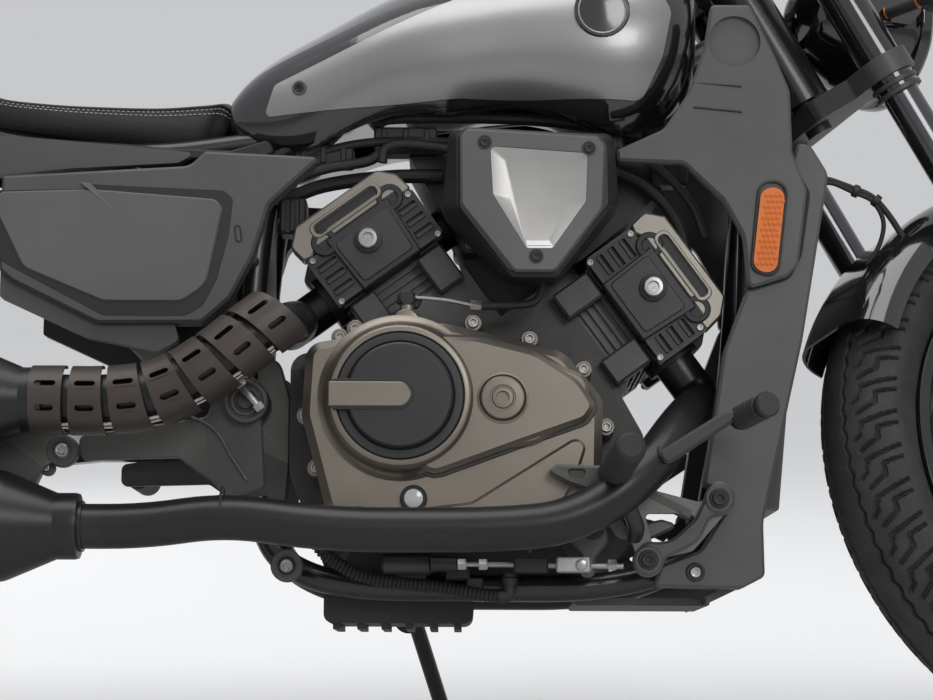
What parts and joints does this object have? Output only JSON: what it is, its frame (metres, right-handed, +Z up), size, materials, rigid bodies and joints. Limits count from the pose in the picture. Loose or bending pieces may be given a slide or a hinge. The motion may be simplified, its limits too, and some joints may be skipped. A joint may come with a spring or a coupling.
{
  "type": "cruiser motorcycle",
  "caption": "Leaning-parked cruiser motorcycle with a V-twin engine, low seat, belt drive, twin silencers on the right, pull-back bar and side stand.",
  "frame": {"origin": "on the ground under the middle of the parked machine, which leans left on its side stand", "axes": "+X towards the front of the machine, +Y to its left, +Z up"},
  "size_m": [2.2259, 0.8445, 1.2561],
  "materials": {
    "black_paint": "gloss",
    "black_coat": "satin",
    "frame_black": "satin gloss",
    "bronze_cover": "satin",
    "engine_dark": "satin",
    "silver_panel": "brushed",
    "grey_plastic": "fine grain",
    "black_plastic": "fine grain",
    "leather": "fine grain",
    "tyre": "matt",
    "rubber": "matt",
    "wheel": "satin black",
    "steel": "machined",
    "chrome": "polished",
    "exhaust_black": "satin",
    "shield": "satin",
    "casting": "sand-cast",
    "amber": "clear",
    "red_lens": "clear",
    "lens": "clear",
    "belt": "matt"
  },
  "bodies": {
    "chassis": {"frame_spine": "frame_black", "frame_rails": "frame_black", "pivot_plates": "casting", "hanger_plates": "casting", "swingarm": "frame_black", "rear_axle": "steel", "subframe": "frame_black", "shocks": "black_coat", "engine_case": "engine_dark", "clutch_cover": "bronze_cover", "clutch_cap": "black_coat", "left_covers": "bronze_cover", "cylinder_rear": "engine_dark", "cylinder_front": "engine_dark", "cylinder_covers": "black_coat", "head_strips": "bronze_cover", "air_cleaner": "black_plastic", "engine_box": "black_plastic", "battery_box": "black_plastic", "drive_belt": "belt", "radiator": "black_coat", "radiator_shrouds": "grey_plastic", "reflectors": "amber", "head_covers": "grey_plastic", "fuel_tank": "black_paint", "tank_panels": "silver_panel", "fuel_cap": "chrome", "seat_rider": "leather", "seat_pillion": "leather", "side_covers": "grey_plastic", "rear_fender": "black_paint", "plate_holder": "black_plastic", "rear_lamps": "red_lens", "rear_caliper": "black_coat", "exhaust_pipes": "exhaust_black", "heat_shield": "shield", "mufflers": "exhaust_black", "foot_brackets": "casting", "foot_levers": "black_coat", "foot_pegs": "rubber"},
    "fork": {"fork_clamps": "black_coat", "fork_legs": "black_coat", "front_axle": "steel", "front_calipers": "black_coat", "front_fender": "black_paint", "headlight": "black_coat", "headlight_lens": "lens", "handlebar": "black_coat", "grips": "rubber", "bar_controls": "black_plastic", "mirrors": "black_plastic", "instrument": "black_plastic", "indicators_front": "amber"},
    "front_wheel": {"front_rim": "wheel", "front_tyre": "tyre", "front_discs": "steel"},
    "rear_wheel": {"rear_rim": "wheel", "rear_tyre": "tyre", "rear_disc_and_pulley": "steel"},
    "stand": {"side_stand": "black_coat"}
  },
  "joints": [
    {"name": "steering", "type": "hinge", "parent": "chassis", "child": "fork", "pos_m": [0.49204, -0.00825, 0.7763], "axis": [-0.4884, 0.1365, 0.8619], "range_deg": [-60, 0]},
    {"name": "front_wheel_spin", "type": "hinge", "parent": "fork", "child": "front_wheel", "pos_m": [0.81979, -0.05255, 0.30051], "axis": [-0.4363, 0.8172, -0.3767], "continuous": true},
    {"name": "rear_wheel_spin", "type": "hinge", "parent": "chassis", "child": "rear_wheel", "pos_m": [-0.71801, -0.08094, 0.31735], "axis": [0, 0.9877, -0.1564], "continuous": true},
    {"name": "side_stand", "type": "hinge", "parent": "chassis", "child": "stand", "pos_m": [0.07625, 0.03417, 0.13643], "axis": [0.1087, 0.9419, 0.3179], "range_deg": [0, 105.7]}
  ]
}
